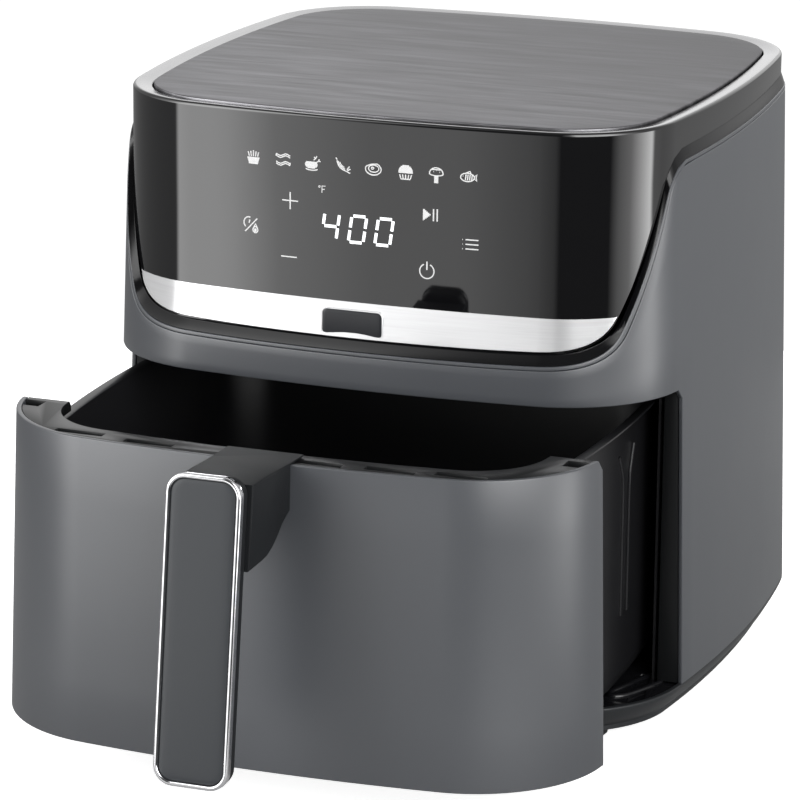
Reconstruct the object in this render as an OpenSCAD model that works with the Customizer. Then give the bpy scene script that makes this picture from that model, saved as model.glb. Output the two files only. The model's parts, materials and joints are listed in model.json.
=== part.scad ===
// Basket air fryer, 6 litre class, drawn with its drawer standing part open.
// The origin is the middle of the four feet on the worktop: +X right, -Y front, +Z up.

/* [Head] */
// Width of the gloss head
head_w = 282.8; // [276:0.2:290]
// Depth of the gloss head, front to back
head_d = 288.1; // [280:0.1:296]
// Height of the rim above the worktop
rim_z = 296.5; // [290:0.5:305]
// Radius of the long curve of each side of the body
side_r = 780; // [600:10:1500]
// Radius of the body's upright corners
corner_r = 56; // [50:1:75]
// Wall of the plastic covers
cover_wall = 2.5; // [2:0.1:3]

/* [Housing] */
// How far the housing stands outside the head at the height of the rim
flare = 1.8; // [1.4:0.1:2.5]
// How far the housing leans out for each millimetre down
lean_out = 0.027; // [0.02:0.001:0.03]
// Wall of the housing
shell_wall = 2.2; // [1.8:0.1:2.4]
// Height of the housing's bottom edge
shell_z = 20.5; // [18:0.5:24]
// Height of the top edge of the drawer window
window_z = 167.6; // [165:0.2:172]
// Where the window ends on each side, front is negative
window_y = -83; // [-90:0.5:-78]

/* [Trim] */
// Height of the housing's front edge, under the bright band
lip_z = 185.7; // [183:0.1:188]
// Height of the trim line's shoulder on the sides
shoulder_z = 276.9; // [270:0.1:280]
// Lean of the sloping run of the trim, in degrees from upright
slope_a = 21.7; // [15:0.1:30]
// Height of the trim's visible face
trim_h = 5.5; // [4:0.1:7]
// Height of the bright band's top edge
band_z = 209; // [205:0.5:215]

/* [Drawer] */
// How far the drawer stands open
drawer_open = 121; // [0:1:140]
// Height of the top edge of the drawer's front
front_top_z = 165.7; // [160:0.1:166]
// Half of the width over the pan's flange
pan_hx = 128.5; // [125:0.1:129]
// Half of the depth over the pan's flange
pan_hy = 122; // [118:0.5:124]
// Radius of the pan's upright corners
pan_r = 40; // [30:1:50]
// Height of the pan's flange
flange_z = 158; // [150:0.5:159]
// Thickness of the pan's sheet
pan_t = 1; // [0.8:0.1:2]

/* [Handle] */
// Width of the bright rim round the handle
handle_w = 35.4; // [30:0.1:40]
// Length of the handle's face
handle_l = 139; // [130:0.5:145]
// Lean of the handle out at its foot, in degrees
handle_a = 7; // [4:0.5:9]
// Height of the foot of the handle's face
handle_z = 34; // [28:0.5:40]
// Distance of the foot of the face from the feet's middle, drawer shut
handle_y = -219; // [-223:0.5:-216]
// Width of the arm that carries the handle
arm_w = 36.6; // [30:0.1:40]

/* [Air unit] */
// Bore of the ceiling under the air unit
dome_r = 96; // [90:1:98]
// Radius of the heating element's tube
tube_r = 3.25; // [3:0.05:3.5]
// Blades of the hot air fan
hot_blades = 10; // [8:1:12]
// Blades of the motor's cooling fan
cool_blades = 7; // [5:1:9]

/* [Hidden] */
$fn = 48;
far = 400;                // longer than the whole part
gap = 0.2;                // clearance between parts of one body
head_y = 3.15;            // the head's middle lies just behind the feet's
deck_z = 19.5;
frame_z = window_z - 0.4;
ceiling_z = 170;
dome_y = -7;              // the air unit is over the middle of the shut pan
dome_z = 201;
coil_r = 63;              // first half turn of the heating element
coil_step = 5;             // each half turn is this much larger
coil_ends = [coil_r - coil_step / 2, coil_r + 5.5 * coil_step];
coil_z = 181;
pan_z = 22;
front_z = 21.2;
tray_z = 4;
foot_x = 108;
foot_y = 110;
front_end = window_y - 1; // the shut drawer's side ends
rim_floor = rim_z - 4;
screw_z = 154;            // the handle's two screws
icon_x = [for (i = [0:7]) (i - 3.5) * 15.3];

// Centre of the corner arc that runs smoothly into both long arcs
function corner_at(hx, hy, R, r) =
    let (p = R - hy, q = R - hx, k = p / q, m = (p * p - q * q) / (2 * q), a = k * k + 1,
         b = 2 * (k * m + p), c = m * m + p * p - (R - r) * (R - r),
         cy = (-b + sqrt(b * b - 4 * a * c)) / (2 * a))
    [k * cy + m, cy];

function arc(c, r, a, b, n) = [for (i = [0:n - 1]) let (t = a + (b - a) * i / n)
    [c.x + r * cos(t), c.y + r * sin(t)]];

// Square outline with bowed sides and round corners, moved outwards by d
function bowed(hx, hy, R, r, d) =
    let (c = corner_at(hx, hy, R, r), s = 6, n = 12,
         e = atan2(c.y, c.x + R - hx), f = atan2(c.y + R - hy, c.x))
    concat(arc([hx - R, 0], R + d, -e, e, s), arc(c, r + d, e, f, n),
        arc([0, hy - R], R + d, f, 180 - f, s), arc([-c.x, c.y], r + d, 180 - f, 180 - e, n),
        arc([R - hx, 0], R + d, 180 - e, 180 + e, s), arc([-c.x, -c.y], r + d, 180 + e, 180 + f, n),
        arc([0, R - hy], R + d, 180 + f, 360 - f, s), arc([c.x, -c.y], r + d, 360 - f, 360 - e, n));

function head_ring(d) = [for (p = bowed(head_w / 2, head_d / 2, side_r, corner_r, d)) p + [0, head_y]];
function pan_ring(d) = [for (p = bowed(pan_hx, pan_hy, side_r, pan_r, d)) p + [0, dome_y]];
function cap_ring(d) = [for (p = bowed(pan_hx - 6, pan_hy, side_r, pan_r - 4, d)) p + [0, dome_y]];

// How far the housing's face stands outside the head at a height
function out_at(z) = flare + lean_out * (rim_z - z);

// Upright solid on an outline
module upright(ring, z0, z1) {
    translate([0, 0, z0]) linear_extrude(z1 - z0) polygon(ring);
}

// Solid whose side runs from one outline to another of as many points
module sloped(ring0, ring1, z0, z1) {
    n = len(ring0);
    polyhedron(
        points = concat([for (p = ring0) [p.x, p.y, z0]], [for (p = ring1) [p.x, p.y, z1]]),
        faces = concat([[for (i = [0:n - 1]) i]], [[for (i = [n - 1:-1:0]) n + i]],
            [for (i = [0:n - 1]) [i, n + i, n + (i + 1) % n, (i + 1) % n]]));
}

// Solid inside the housing's face, moved outwards by d
module housing(d, z0, z1) {
    sloped(head_ring(out_at(z0) + d), head_ring(out_at(z1) + d), z0, z1);
}

// Everything in front of a plane, or behind it
module ahead(y) { translate([-far, y - far, -far]) cube([2 * far, far, 2 * far]); }
module behind(y) { translate([-far, y, -far]) cube([2 * far, far, 2 * far]); }

// Side profile in Y and Z, drawn right across the part or w wide
module across(pts, w = 2 * far) {
    rotate([90, 0, 90]) linear_extrude(w, center = true) polygon(pts);
}

// Region in front of and above the trim line, lifted by dz
module above_trim(dz = 0) {
    low_r = 26;
    high_r = 22;
    rise = 1;             // the shoulder climbs by a degree to the back
    h = 90 - slope_a;
    on_y = -116.9;        // the sloping run passes through this place
    on_z = 214.7;
    low_y = on_y + (lip_z + low_r * (1 - cos(h)) - on_z) * tan(slope_a) - low_r * sin(h);
    high_z = shoulder_z - high_r;
    high_y = on_y + (high_z + high_r * cos(h) - on_z) * tan(slope_a) + high_r * sin(h);
    translate([0, 0, dz]) across(concat([[-far, far], [-far, lip_z]],
        arc([low_y, lip_z + low_r], low_r, -90, h - 90, 10), arc([high_y, high_z], high_r, h + 90, 90, 10),
        [[high_y, shoulder_z], [far, shoulder_z + (far - high_y) * tan(rise)], [far, far]]));
}

// Round bar along Y
module round_bar_y(x, y0, y1, z, r) {
    translate([x, y1, z]) rotate([90, 0, 0]) cylinder(r = r, h = y1 - y0);
}

// Rounded rectangle in X and Z, from y0 back to y1
module rounded_face(w, h, r, y0, y1) {
    translate([0, y1, 0]) rotate([90, 0, 0]) linear_extrude(y1 - y0) union() {
        translate([-w / 2 + r, 0]) square([w - 2 * r, h]);
        translate([-w / 2, r]) square([w, h - 2 * r]);
        for (x = [r - w / 2, w / 2 - r]) for (z = [r, h - r]) translate([x, z]) circle(r);
    }
}

/* ---- base ---- */
module base_tray() {
    knee_z = tray_z + 5;
    ledge_z = deck_z - 2.5;
    color("#26282b") difference() {
        union() {
            sloped(head_ring(3.2), head_ring(7.2), tray_z, knee_z);
            sloped(head_ring(7.2), head_ring(out_at(shell_z)), knee_z, shell_z);
        }
        upright(head_ring(2.5), tray_z + cover_wall, ledge_z + 1);
        upright(head_ring(6.3), ledge_z, shell_z + 1);
        for (i = [-4:4]) translate([i * 16 - 3, -40, 0]) cube([6, 80, 20]);
        for (x = [-1, 1]) for (y = [-1, 1]) translate([x * foot_x, y * foot_y, 0]) cylinder(r = 2, h = 30);
        for (x = [-1, 1]) translate([x * 118, 0, 0]) cylinder(r = 2, h = 30);
    }
}
module foot(x, y) {
    color("#1c1c1e") translate([x * foot_x, y * foot_y, 0]) rotate_extrude() union() {
        polygon([[0, 0], [8, 0], [9, 1], [9, tray_z], [0, tray_z]]);
        square([1.9, tray_z + 4]);
    }
}
module foot_front_left() { foot(-1, -1); }
module foot_front_right() { foot(1, -1); }
module foot_rear_left() { foot(-1, 1); }
module foot_rear_right() { foot(1, 1); }
module base_deck() {
    color("#17181a") difference() {
        upright(head_ring(6.3 - gap), deck_z - 2.5, deck_z);
        for (x = [-1, 1]) translate([x * 128, -95, deck_z - 1]) rotate([0, 0, x * 12])
            linear_extrude(2) union() {
                square([7, 38], center = true);
                for (y = [-19, 19]) translate([0, y]) circle(3.5);
            }
    }
}
module base_screws() {
    color("#9a9c9e") for (x = [-1, 1]) translate([x * 118, 0, 0]) rotate_extrude()
        polygon([[0, tray_z - 2], [3.5, tray_z - 2], [3.5, tray_z], [1.9, tray_z], [1.9, 14], [0, 14]]);
}
module runner(x) { color("#d8d8d4") translate([x * 90 - 5, -55, deck_z]) cube([10, 150, 2]); }
module runner_left() { runner(-1); }
module runner_right() { runner(1); }

/* ---- housing and cavity ---- */
module vent_slot() { translate([-45, 120, 195]) cube([90, 60, 50]); }
module outer_shell() {
    edge_r = 5;
    color("#5b5d61") difference() {
        housing(0, shell_z, rim_z - 8);
        housing(-shell_wall, shell_z - 1, rim_z - 7);
        above_trim();
        difference() {
            across([[-far, 0], [window_y, 0], [window_y, window_z], [-far, window_z]]);
            across([[window_y - edge_r, window_z - edge_r], [window_y + 1, window_z - edge_r],
                [window_y + 1, window_z + 1], [window_y - edge_r, window_z + 1]]);
        }
        across(arc([window_y - edge_r, window_z - edge_r], edge_r, 0, 360, 40));
        vent_slot();
        round_bar_y(70, 130, 170, 45, 9.2);
    }
}
module window_frame() {
    inner = 133;
    color("#141416") difference() {
        intersection() {
            housing(-shell_wall - gap, shell_z, frame_z + 2.5);
            ahead(window_y + 3.2);
        }
        translate([-far, -far, 0]) cube([2 * far, far + window_y + 0.7, frame_z]);
        translate([-inner, -far, 0]) cube([2 * inner, 2 * far, frame_z]);
        intersection() {
            upright(pan_ring(6), 0, 300);
            behind(-112);
        }
        translate([75, -124, 0]) cylinder(r = 1.8, h = 200);
    }
}
module liner_wall() {
    color("#3a3b3d") difference() {
        upright(pan_ring(5.7), deck_z, ceiling_z);
        upright(pan_ring(4.5), 0, 300);
        ahead(window_y + 3.4);
    }
}
module liner_ceiling() {
    color("#8b8d8f") difference() {
        upright(pan_ring(5.7), ceiling_z, ceiling_z + 1.2);
        ahead(-111.7);
        translate([0, dome_y, 0]) cylinder(r = dome_r, h = 300, $fn = 96);
    }
}

/* ---- air unit ---- */
module heat_dome() {
    color("#b8babc") translate([0, dome_y, 0]) difference() {
        rotate_extrude($fn = 96) difference() {
            polygon([[0, 171.2], [104, 171.2], [104, 172.2], [dome_r, 172.2], [dome_r, dome_z], [0, dome_z]]);
            square([dome_r - 1, dome_z - 1]);
        }
        cylinder(r = 6, h = 300);
        for (y = coil_ends) translate([0, y, 0]) cylinder(r = tube_r + 0.8, h = 300);
        rotate([0, 0, 135]) translate([92, 0, 0]) cylinder(r = 2.2, h = 300);
    }
}
// Flat coil of half turns about two centres, with its two ends turned up
module heating_element() {
    color("#6f6a66") translate([0, dome_y, coil_z]) rotate([0, 0, -90]) {
        for (i = [0:5]) translate([(i % 2 == 0 ? coil_step : -coil_step) / 2, 0, 0])
            rotate([0, 0, i % 2 == 0 ? 180 : 0])
                rotate_extrude(angle = 180) translate([coil_r + i * coil_step, 0]) circle(tube_r);
        for (x = coil_ends) translate([-x, 0, 0]) cylinder(r = tube_r - 0.25, h = 30);
    }
}
module element_clips() {
    color("#c4c6c8") for (a = [30, 150, 270]) translate([0, dome_y, 0]) rotate([0, 0, a])
        translate([57, -3, coil_z + tube_r + 0.05]) cube([dome_r - 58.2, 6, 1]);
}
module air_guard() {
    color("#a6a8aa") translate([0, dome_y, ceiling_z - 1.6]) linear_extrude(1.6) {
        for (r = [[30, 32.5], [60, 62.5], [93, 100]]) difference() {
            circle(r[1], $fn = 96);
            circle(r[0], $fn = 96);
        }
        for (a = [0:45:359]) rotate(a) translate([31, -1]) square([62, 2]);
    }
}
module motor_bracket() {
    color("#aeb0b2") translate([0, dome_y, 0]) difference() {
        translate([-108, -18, 171.2]) cube([216, 36, 34]);
        translate([-106.5, -19, 171]) cube([213, 38, 32.7]);
        cylinder(r = 8, h = 300);
        for (x = [-17, 17]) translate([x, 0, 0]) cylinder(r = 1.7, h = 300);
    }
}
module fan_motor() {
    color("#707274") translate([0, dome_y, 205.2]) difference() {
        union() {
            cylinder(r = 24, h = 24);
            translate([-28, -21, 3]) cube([56, 42, 18]);
        }
        translate([0, 0, -1]) cylinder(r = 3.2, h = 30);
        for (x = [-17, 17]) translate([x, 0, -1]) cylinder(r = 1.7, h = 8);
    }
}
module motor_screws() {
    color("#d0d2d4") for (x = [-17, 17]) translate([x, dome_y, 0]) rotate_extrude()
        polygon([[0, 201.6], [3.2, 201.6], [3.2, 203.7], [1.5, 203.7], [1.5, 210], [0, 210]]);
}
module motor_shaft() { color("#e0e2e4") translate([0, dome_y, 183.5]) cylinder(r = 2.5, h = 68); }
module fan_nut() {
    color("#c8cacc") translate([0, dome_y, 184]) difference() {
        cylinder(r = 5.5, h = 3, $fn = 6);
        translate([0, 0, -1]) cylinder(r = 2.5, h = 5);
    }
}
module wheel(hub_r, tip_r, disc_z, z0, z1, blades, sweep) {
    difference() {
        union() {
            translate([0, 0, z0]) cylinder(r = hub_r, h = z1 - z0);
            translate([0, 0, disc_z]) cylinder(r = tip_r, h = 1);
            for (i = [0:blades - 1]) rotate([0, 0, i * 360 / blades]) translate([hub_r - 1, -0.5, z0])
                rotate([0, 0, sweep]) cube([tip_r - hub_r - 1, 1, z1 - z0 - 1]);
        }
        translate([0, 0, z0 - 1]) cylinder(r = 2.5, h = 40);
    }
}
module hot_fan() { color("#b0b2b4") translate([0, dome_y, 0]) wheel(8, 54, 197, 187, 198, hot_blades, 14); }
module cooling_fan() { color("#e4e2dc") translate([0, dome_y, 0]) wheel(7, 44, 247, 236, 248, cool_blades, 10); }
module exhaust_duct() {
    color("#8b8d8f") difference() {
        translate([-44, 100, 197]) cube([88, 43.6, 46]);
        translate([-42.5, 99, 198.5]) cube([85, 46, 43]);
    }
}
module exhaust_grille() {
    color("#1c1c1e") difference() {
        translate([-44.7, 144, 195.3]) cube([89.4, 5, 49.4]);
        for (i = [0:6]) translate([-40, 143, 199.5 + i * 6.2]) cube([80, 7, 3.2]);
    }
}
module thermal_fuse() { color("#e8e4d8") translate([30, dome_y - 45, dome_z + 3.25]) rotate([0, 90, 0])
    cylinder(r = 3.2, h = 14); }
module temperature_probe() {
    color("#d4d6d8") translate([0, dome_y, 0]) rotate([0, 0, 135]) translate([92, 0, 0]) union() {
        translate([0, 0, 187]) cylinder(r = 1.8, h = 21);
        translate([0, 0, dome_z]) cylinder(r = 3.5, h = 2);
    }
}

/* ---- head ---- */
module front_zone(z0, z1) {
    intersection() {
        translate([-far, -far, z0]) cube([2 * far, far - 84, z1 - z0]);
        above_trim(trim_h + 0.5);
    }
}
module head_cover() {
    color("#0c0c0e") difference() {
        upright(head_ring(0), lip_z, rim_z);
        upright(head_ring(-cover_wall), lip_z - 1, rim_floor - cover_wall);
        sloped(head_ring(-9), head_ring(-4), rim_floor, rim_z + 0.01);
        difference() {
            translate([-far, -far, 0]) cube([2 * far, 2 * far, rim_z - 6]);
            above_trim(1);
        }
        difference() {
            front_zone(lip_z, rim_z - 4.5);
            upright(head_ring(-1.2), 0, far);
        }
    }
}
module trim_ring() {
    color("#08080a") for (s = [0, 1]) difference() {
        intersection() {
            housing(s == 0 ? -0.4 : -1.4, lip_z - 1, rim_z - 4);
            above_trim(s * trim_h / 2);
        }
        above_trim((s + 1) * trim_h / 2);
        upright(head_ring(0.1), 0, far);
    }
}
module control_panel() {
    color("#0e0e10") intersection() {
        difference() {
            upright(head_ring(0), band_z + gap, rim_z - 4.6);
            upright(head_ring(-1.1), 0, far);
        }
        front_zone(0, far);
    }
}
module bright_band() {
    color("#d9dbdd") intersection() {
        difference() {
            upright(head_ring(0), lip_z, band_z);
            upright(head_ring(-1.1), 0, far);
        }
        front_zone(0, far);
    }
}
module badge_plate() {
    front = head_y - head_d / 2;
    color("#2a2b2e") translate([-2.7, 0, 192.5]) rounded_face(31, 14, 3, front - 0.9, front - 0.05);
}
module top_plate() {
    color("#3c3e42") difference() {
        upright(head_ring(-10), rim_floor, rim_z + 0.3);
        upright(head_ring(-10.8), rim_floor - 1, rim_z - 0.5);
    }
}
module control_board() { color("#1f5a34") translate([-70, -134.4, 215]) cube([140, 1.6, 70]); }
module display_module() { color("#202226") translate([-24, -137.4, 233]) cube([48, 3, 22]); }
module touch_pads() {
    rows = concat([for (x = icon_x) [x, 273.3]],
        [[-35.3, 254.5], [-55.3, 241], [-35.3, 227.5], [33.6, 254], [54, 241], [33.6, 227.5]]);
    color("#c9a35a") for (p = rows) round_bar_y(p.x, -136.2, -134.4, p.y, 3);
}
module board_carrier() {
    color("#2c2e30") difference() {
        translate([-75, -132.8, 208]) cube([150, 8, 80]);
        translate([-72, -130.8, 211]) cube([144, 8, 74]);
    }
}
module power_board() {
    color("#2f6b3f") union() {
        translate([-122.8, -50, 180]) cube([1.6, 120, 70]);
        translate([-121.2, -40, 190]) cube([10, 28, 24]);
        translate([-121.2, 5, 190]) cube([12, 30, 34]);
        translate([-121.2, 50, 200]) cube([9, 12, 20]);
    }
}
module power_bracket() {
    color("#aeb0b2") union() {
        translate([-124, -50, 171.2]) cube([1.2, 120, 78]);
        translate([-122.8, -20, 171.2]) cube([10, 60, 1.2]);
    }
}
module terminal_block() {
    color("#e8e6df") difference() {
        translate([62, 95, 171.2]) cube([30, 14, 12]);
        for (i = [0:2]) translate([67 + i * 10, 102, 175]) cylinder(r = 2.5, h = 20);
    }
}
module cord_inlet() {
    color("#141416") difference() {
        union() {
            round_bar_y(70, 143, 165, 45, 7);
            round_bar_y(70, 146, 157, 45, 9);
            round_bar_y(70, 154.6, 157, 45, 12);
            round_bar_y(70, 146.8, 149.4, 45, 10.5);
        }
        round_bar_y(70, 130, 180, 45, 3.6);
    }
}
module drawer_switch() {
    color("#e6e2d6") union() {
        translate([65, -130, frame_z + 2.5]) cube([20, 12, 11]);
        translate([75, -124, frame_z - 0.5]) cylinder(r = 1.5, h = 5);
    }
}

/* ---- drawer, drawn shut and moved out ---- */
module pulled() { translate([0, -drawer_open, 0]) children(); }
module round_end(r) {
    difference() {
        translate([-far, front_end - r, front_top_z - r]) cube([2 * far, r + 1, r + 1]);
        across(arc([front_end - r, front_top_z - r], r, 0, 360, 40));
    }
}
module drawer_front() {
    color("#5b5d61") pulled() difference() {
        housing(0, front_z, front_top_z);
        housing(-cover_wall, front_z - 1, front_top_z + 1);
        behind(front_end);
        round_end(5);
        for (x = [-9, 9]) round_bar_y(x, -160, -130, screw_z, 2);
    }
}
module drawer_inner() {
    top_z = front_top_z - 5.7;
    color("#151517") pulled() difference() {
        housing(-cover_wall - gap, pan_z, top_z);
        upright(pan_ring(1), 0, 300);
        behind(front_end - 0.2);
        difference() {
            ahead(front_end - 3);
            upright(pan_ring(3), 0, 300);
            translate([-far, -far, 0]) cube([2 * far, 2 * far, pan_z + 2]);
        }
        for (z = [80, 120]) round_bar_y(0, -150, -120, z, 2.1);
    }
}
module drawer_cap() {
    color("#1b1c1e") pulled() difference() {
        housing(-cover_wall - gap, front_top_z - 5.7, front_top_z - 0.4);
        upright(cap_ring(0), 0, 300);
        behind(front_end - 0.2);
        for (x = [-92, -56, 26, 60, 92]) translate([x - 12, -141 + x * x / 1400, 100]) cube([24, 5, 100]);
        for (s = [-1, 1]) translate([s * 133 - 5, front_end - 16, 100]) cube([10, 9, 100]);
        round_end(5);
    }
}
module pan() {
    foot = 8;
    color("#1a1a1c") pulled() difference() {
        union() {
            upright(pan_ring(0), flange_z - pan_t, flange_z);
            upright(pan_ring(-5), pan_z + foot, flange_z);
            sloped(pan_ring(-12), pan_ring(-5), pan_z, pan_z + foot);
        }
        upright(pan_ring(-5 - pan_t), pan_z + foot + 0.5, flange_z + 1);
        sloped(pan_ring(-12 - pan_t), pan_ring(-5 - pan_t), pan_z + pan_t, pan_z + foot + 0.5);
    }
}
module pan_bracket() {
    color("#8b8d8f") pulled() difference() {
        translate([-20, -129.6, 60]) cube([40, 5.3, 80]);
        for (z = [80, 120]) round_bar_y(0, -150, -120, z, 2);
    }
}
module pan_screws() {
    color("#c8cacc") pulled() for (z = [80, 120]) union() {
        round_bar_y(0, -133, -125, z, 1.9);
        round_bar_y(0, -134.5, -132.3, z, 4);
    }
}

/* ---- handle ---- */
module leaning() { pulled() translate([0, handle_y, handle_z]) rotate([-handle_a, 0, 0]) children(); }
module handle_arm() {
    back = 12.6 / cos(handle_a);
    function back_y(z) = handle_y + (z - handle_z) * tan(handle_a) + back;
    color("#232427") pulled() {
        difference() {
            across([[-140, 166.4], [-140, 145], [-150, 144.6], [-158, 139.5], [-167, 133.6], [-178, 130.6],
                [back_y(130), 130], [back_y(168.4), 168.4], [-170, 168]], arm_w);
            housing(0.05, 100, 200);
            for (x = [-9, 9]) round_bar_y(x, -165, -130, screw_z, 2);
        }
        across([[-150, 165.9], [-131, 165.9], [-131, 166.5], [-150, 166.7]], arm_w);
    }
}
module handle_body() {
    color("#232427") leaning() translate([0, 0, 1])
        rounded_face(handle_w - 1.4, handle_l - 2, 8, 4, 12.5);
}
module handle_rim() {
    color("#e2e4e6") leaning() difference() {
        rounded_face(handle_w, handle_l, 9, 0, 4);
        translate([0, 0, 2.2]) rounded_face(handle_w - 4.4, handle_l - 4.4, 7, -1, 5);
    }
}
module handle_insert() {
    color("#2e3033") leaning() translate([0, 0, 2.3]) rounded_face(handle_w - 4.6, handle_l - 4.6, 6.9, 0.8, 4);
}
module handle_screws() {
    color("#c8cacc") pulled() for (x = [-9, 9]) union() {
        round_bar_y(x, -162, -140, screw_z, 1.9);
        round_bar_y(x, -143.4, -140.5, screw_z, 4);
    }
}

/* ---- crisper ---- */
module crisper_plate() {
    pitch = 17;
    color("#1f1f21") pulled() translate([0, 0, 34]) linear_extrude(1.6) difference() {
        polygon(pan_ring(-9));
        for (i = [-5:5]) for (j = [-5:5]) if (norm([i, j]) > 1.5 && abs(i) + abs(j) < 9)
            translate([i * pitch, dome_y + j * pitch]) circle(4.2);
        translate([0, dome_y]) circle(12);
    }
}
module plate_bumpers() {
    color("#2a2a2c") pulled() for (x = [-1, 1]) for (y = [-1, 1]) translate([x * 84, dome_y + y * 79, 0]) {
        translate([0, 0, pan_z + pan_t + 0.2]) cylinder(r = 5, h = 34 - pan_z - pan_t - 0.2);
    }
}

base_tray();
foot_front_left();
foot_front_right();
foot_rear_left();
foot_rear_right();
base_deck();
base_screws();
runner_left();
runner_right();
outer_shell();
window_frame();
liner_wall();
liner_ceiling();
heat_dome();
heating_element();
element_clips();
air_guard();
motor_bracket();
fan_motor();
motor_screws();
motor_shaft();
hot_fan();
fan_nut();
cooling_fan();
exhaust_duct();
exhaust_grille();
thermal_fuse();
temperature_probe();
head_cover();
trim_ring();
control_panel();
bright_band();
badge_plate();
top_plate();
control_board();
display_module();
touch_pads();
board_carrier();
power_board();
power_bracket();
terminal_block();
cord_inlet();
drawer_switch();
drawer_front();
drawer_inner();
drawer_cap();
pan();
pan_bracket();
pan_screws();
handle_arm();
handle_body();
handle_rim();
handle_insert();
handle_screws();
crisper_plate();
plate_bumpers();
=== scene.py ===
import json
import math

import bmesh
import bpy
from mathutils import Matrix, Vector

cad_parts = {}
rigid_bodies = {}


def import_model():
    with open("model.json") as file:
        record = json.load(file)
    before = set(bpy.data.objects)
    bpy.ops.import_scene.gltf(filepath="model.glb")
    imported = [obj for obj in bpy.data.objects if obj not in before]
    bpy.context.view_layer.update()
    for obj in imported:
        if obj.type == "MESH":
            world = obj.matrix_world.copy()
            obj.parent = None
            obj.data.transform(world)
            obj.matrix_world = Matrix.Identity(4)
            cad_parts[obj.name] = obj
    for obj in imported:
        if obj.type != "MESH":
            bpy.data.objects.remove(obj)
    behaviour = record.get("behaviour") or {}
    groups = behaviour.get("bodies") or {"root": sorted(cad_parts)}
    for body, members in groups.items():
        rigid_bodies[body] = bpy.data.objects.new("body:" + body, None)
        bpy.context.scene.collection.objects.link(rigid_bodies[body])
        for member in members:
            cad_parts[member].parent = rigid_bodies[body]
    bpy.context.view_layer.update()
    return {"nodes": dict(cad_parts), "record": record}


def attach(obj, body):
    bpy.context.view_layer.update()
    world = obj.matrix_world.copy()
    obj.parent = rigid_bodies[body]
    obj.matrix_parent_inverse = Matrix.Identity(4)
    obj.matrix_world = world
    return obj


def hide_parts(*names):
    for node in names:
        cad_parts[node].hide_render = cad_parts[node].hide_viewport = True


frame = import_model()
mm = 0.001


# outlines: a square with bowed sides and round corners, read by the angle of its outward normal
class Outline:
    def __init__(self, halfX, halfY, sideR, cornerR, middleY):
        self.halfX, self.halfY, self.sideR, self.cornerR, self.middleY = halfX, halfY, sideR, cornerR, middleY
        p, q, d = sideR - halfY, sideR - halfX, sideR - cornerR
        k, m = p / q, (p * p - q * q) / (2 * q)
        a, b, c = k * k + 1, 2 * (k * m + p), m * m + p * p - d * d
        self.cornerY = (-b + math.sqrt(b * b - 4 * a * c)) / (2 * a)
        self.cornerX = k * self.cornerY + m
        self.low = math.atan2(self.cornerY, self.cornerX + q)
        self.high = math.atan2(self.cornerY + p, self.cornerX)

    def at(self, angle, out=0.0):
        # place in X and Y, in millimetres, of the outline moved outwards
        c, s = math.cos(angle), math.sin(angle)
        turn = math.atan2(abs(s), abs(c))
        if turn < self.low:
            x, y, r = self.halfX - self.sideR, 0.0, self.sideR
        elif turn > self.high:
            x, y, r = 0.0, self.halfY - self.sideR, self.sideR
        else:
            x, y, r = self.cornerX, self.cornerY, self.cornerR
        x, y = (x if c > 0 else -x), (y if s > 0 else -y)
        return x + (r + out) * c, self.middleY + y + (r + out) * s

    def angleAtY(self, y, out=0.0):
        # normal's angle, on the right-hand front corner, of the place with this Y
        low, high = -math.pi / 2, 0.0
        for _ in range(50):
            mid = (low + high) / 2
            if self.at(mid, out)[1] < y:
                low = mid
            else:
                high = mid
        return (low + high) / 2

    def angleAtX(self, x, out=0.0):
        # normal's angle on the front, of the place with this X
        low, high = -math.pi, 0.0
        for _ in range(50):
            mid = (low + high) / 2
            if self.at(mid, out)[0] < x:
                low = mid
            else:
                high = mid
        return (low + high) / 2


body = {"rimZ": 296.5, "flare": 1.8, "leanOut": 0.027, "shellZ": 20.5, "windowZ": 167.6, "windowY": -83.0,
        "open": 121.0, "columns": 480}
headLine = Outline(141.4, 144.05, 780, 56, 3.15)
panLine = Outline(128.5, 122.0, 780, 40, -7.0 - body["open"])
capLine = Outline(122.5, 122.0, 780, 36, -7.0 - body["open"])
drawerLine = Outline(141.4, 144.05, 780, 56, 3.15 - body["open"])


def outAt(z):
    return body["flare"] + body["leanOut"] * (body["rimZ"] - z)


# the S-shaped line where the housing meets the trim, moved by a distance towards the head
trim = {"lipZ": 185.7, "shoulderZ": 276.9, "slope": 21.7, "onY": -116.9, "onZ": 214.7, "lowR": 26.0,
        "highR": 22.0, "rise": 1.0, "face": 5.5, "back": 1.5}


def trimZ(y, shift=0.0):
    slope, turn = math.radians(trim["slope"]), math.radians(90 - trim["slope"])
    lowR, highR, rise = trim["lowR"], trim["highR"], math.tan(math.radians(trim["rise"]))
    lowY = trim["onY"] + (trim["lipZ"] + lowR * (1 - math.cos(turn)) - trim["onZ"]) * math.tan(slope)
    lowY -= lowR * math.sin(turn)
    lowZ = trim["lipZ"] + lowR
    highZ = trim["shoulderZ"] - highR
    highY = trim["onY"] + (highZ + highR * math.cos(turn) - trim["onZ"]) * math.tan(slope)
    highY += highR * math.sin(turn)
    low, high = lowR - shift, highR + shift
    if y < lowY:
        return lowZ - low
    if y < lowY + low * math.sin(turn):
        return lowZ - math.sqrt(max(0.0, low * low - (y - lowY) ** 2))
    if y < highY - high * math.sin(turn):
        return lowZ - low * math.cos(turn) + (y - lowY - low * math.sin(turn)) / math.tan(slope)
    if y < highY:
        return highZ + math.sqrt(max(0.0, high * high - (y - highY) ** 2))
    return highZ + high + (y - highY) * rise


def trimTopZ(y):
    return trimZ(y - trim["back"]) + trim["face"]


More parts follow.
